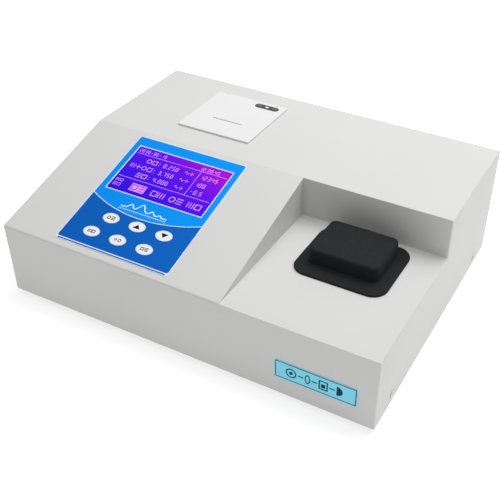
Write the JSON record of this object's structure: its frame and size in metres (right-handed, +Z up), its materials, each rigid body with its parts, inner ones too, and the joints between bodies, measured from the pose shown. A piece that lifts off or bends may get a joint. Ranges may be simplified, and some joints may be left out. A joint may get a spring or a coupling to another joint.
{
  "type": "ultraviolet oil content analyzer",
  "caption": "Low bench analyzer case with a sloping keypad and display, a panel printer under a lid on its flat top, and a loose cover over a cell well.",
  "frame": {"origin": "on the surface that the feet stand on, under the middle of the instrument's box", "axes": "+X to the operator's right, +Y to the back, +Z up"},
  "size_m": [0.4746, 0.3664, 0.153],
  "materials": {
    "case_paint": "fine textured light grey powder coat",
    "screw_steel": "nickel-plated steel",
    "foot_rubber": "matt black rubber",
    "nameplate_print": "light blue printed sheet with a dark border",
    "membrane_print": "blue printed membrane in two tones",
    "circuit_board": "green circuit board",
    "display": "lit violet graphic display",
    "white_plastic": "white moulded plastic",
    "motor_steel": "drawn steel can",
    "bare_aluminium": "milled aluminium",
    "black_anodised": "black anodised aluminium",
    "mirror_glass": "aluminised glass",
    "quartz": "clear fused quartz",
    "zinc_steel": "zinc-plated sheet steel",
    "black_plastic": "black moulded plastic",
    "lamp_plastic": "frosted lamp window",
    "key_black": "dark soft-touch key",
    "paper": "thermal paper roll",
    "roller_rubber": "ground black rubber",
    "gear_plastic": "natural acetal",
    "brass_gear": "cut brass",
    "cover_black": "matt black moulded cover",
    "rocker_black": "glossy black rocker",
    "key_white": "white domed key"
  },
  "bodies": {
    "case": {"top_cover": "case_paint", "base_tray": "case_paint", "rear_panel": "case_paint", "case_screws": "screw_steel", "foot_front_left": "foot_rubber", "foot_front_right": "foot_rubber", "foot_back_left": "foot_rubber", "foot_back_right": "foot_rubber", "nameplate": "nameplate_print", "keypad_overlay": "membrane_print", "key_board": "circuit_board", "display_glass": "display", "display_board": "circuit_board", "printer_tub": "white_plastic", "paper_spindle": "white_plastic", "printer_motor": "motor_steel", "print_head": "bare_aluminium", "cuvette_well": "black_anodised", "optics_base": "bare_aluminium", "monochromator_box": "black_anodised", "monochromator_lid": "black_anodised", "collimating_mirror": "mirror_glass", "focusing_mirror": "mirror_glass", "drive_stepper": "motor_steel", "lamp_house": "bare_aluminium", "condenser_lens": "quartz", "deuterium_lamp": "quartz", "detector_block": "black_anodised", "photodiode": "motor_steel", "main_board": "circuit_board", "power_supply": "zinc_steel", "mains_inlet": "black_plastic", "switch_housing": "black_plastic", "fan_frame": "black_plastic", "fan_guard": "screw_steel", "serial_port": "zinc_steel"},
    "lid": {"printer_lid": "white_plastic", "printer_key_plate": "black_plastic", "printer_lamp": "lamp_plastic", "printer_key_board": "circuit_board"},
    "feed_key": {"printer_feed_key": "key_black"},
    "select_key": {"printer_select_key": "key_black"},
    "paper_roll": {"paper_roll": "paper"},
    "platen": {"platen_roller": "roller_rubber", "platen_gear": "gear_plastic"},
    "idler": {"idler_gear": "gear_plastic"},
    "pinion": {"motor_pinion": "brass_gear"},
    "cover": {"sample_cover": "cover_black"},
    "fuse_drawer": {"fuse_drawer": "black_plastic"},
    "rocker": {"power_rocker": "rocker_black"},
    "fan_rotor": {"fan_rotor": "black_plastic"},
    "grating_turret": {"grating_table": "black_anodised", "grating": "mirror_glass"},
    "plunger": {"drive_plunger": "motor_steel"},
    "key_upper_left": {"key_upper_left": "key_white"},
    "key_upper_middle": {"key_upper_middle": "key_white"},
    "key_upper_right": {"key_upper_right": "key_white"},
    "key_lower_left": {"key_lower_left": "key_white"},
    "key_lower_middle": {"key_lower_middle": "key_white"},
    "key_lower_right": {"key_lower_right": "key_white"}
  },
  "joints": [
    {"name": "key_upper_left_press", "type": "slide", "parent": "case", "child": "key_upper_left", "axis": [0, 0.257, -0.9664], "range_m": [0, 0.0005], "stiffness_N_per_m": 600, "springref_m": -0.001},
    {"name": "key_upper_middle_press", "type": "slide", "parent": "case", "child": "key_upper_middle", "axis": [0, 0.257, -0.9664], "range_m": [0, 0.0005], "stiffness_N_per_m": 600, "springref_m": -0.001},
    {"name": "key_upper_right_press", "type": "slide", "parent": "case", "child": "key_upper_right", "axis": [0, 0.257, -0.9664], "range_m": [0, 0.0005], "stiffness_N_per_m": 600, "springref_m": -0.001},
    {"name": "key_lower_left_press", "type": "slide", "parent": "case", "child": "key_lower_left", "axis": [0, 0.257, -0.9664], "range_m": [0, 0.0005], "stiffness_N_per_m": 600, "springref_m": -0.001},
    {"name": "key_lower_middle_press", "type": "slide", "parent": "case", "child": "key_lower_middle", "axis": [0, 0.257, -0.9664], "range_m": [0, 0.0005], "stiffness_N_per_m": 600, "springref_m": -0.001},
    {"name": "key_lower_right_press", "type": "slide", "parent": "case", "child": "key_lower_right", "axis": [0, 0.257, -0.9664], "range_m": [0, 0.0005], "stiffness_N_per_m": 600, "springref_m": -0.001},
    {"name": "lid_hinge", "type": "hinge", "parent": "case", "child": "lid", "pos_m": [-0.08975, 0.14463, 0.15127], "axis": [-1, 0, 0], "range_deg": [0, 100]},
    {"name": "feed_key_press", "type": "slide", "parent": "lid", "child": "feed_key", "axis": [0, 0, -1], "range_m": [0, 0.0004], "stiffness_N_per_m": 400, "springref_m": -0.001},
    {"name": "select_key_press", "type": "slide", "parent": "lid", "child": "select_key", "axis": [0, 0, -1], "range_m": [0, 0.0004], "stiffness_N_per_m": 400, "springref_m": -0.001},
    {"name": "paper_spin", "type": "hinge", "parent": "case", "child": "paper_roll", "pos_m": [-0.08975, 0.11425, 0.12], "axis": [1, 0, 0], "continuous": true},
    {"name": "platen_spin", "type": "hinge", "parent": "case", "child": "platen", "pos_m": [-0.08975, 0.08215, 0.138], "axis": [1, 0, 0], "continuous": true},
    {"name": "idler_spin", "type": "hinge", "parent": "case", "child": "idler", "pos_m": [-0.06375, 0.07651, 0.1225], "axis": [1, 0, 0], "continuous": true},
    {"name": "pinion_spin", "type": "hinge", "parent": "case", "child": "pinion", "pos_m": [-0.06375, 0.08326, 0.1108], "axis": [1, 0, 0], "continuous": true},
    {"name": "cover_lift", "type": "slide", "parent": "case", "child": "cover", "axis": [0, 0, 1], "range_m": [0, 0.08]},
    {"name": "rocker_tilt", "type": "hinge", "parent": "case", "child": "rocker", "pos_m": [0.127, 0.17825, 0.058], "axis": [-1, 0, 0], "range_deg": [0, 14]},
    {"name": "fuse_drawer_slide", "type": "slide", "parent": "case", "child": "fuse_drawer", "axis": [0, 1, 0], "range_m": [0, 0.014]},
    {"name": "fan_spin", "type": "hinge", "parent": "case", "child": "fan_rotor", "pos_m": [0.027, 0.16575, 0.082], "axis": [0, 1, 0], "continuous": true},
    {"name": "grating_turn", "type": "hinge", "parent": "case", "child": "grating_turret", "pos_m": [0.068, 0.00725, 0.0345], "axis": [0, 0, 1], "range_deg": [-4.5, 4.5]},
    {"name": "plunger_slide", "type": "slide", "parent": "case", "child": "plunger", "axis": [1, 0, 0], "range_m": [-0.0055, 0.0055]}
  ],
  "couplings": [
    {"joint": "idler_spin", "follows": "platen_spin", "ratio": -0.83333},
    {"joint": "pinion_spin", "follows": "platen_spin", "ratio": 1.6667},
    {"joint": "plunger_slide", "follows": "grating_turn", "m_per_rad": 0.07}
  ]
}
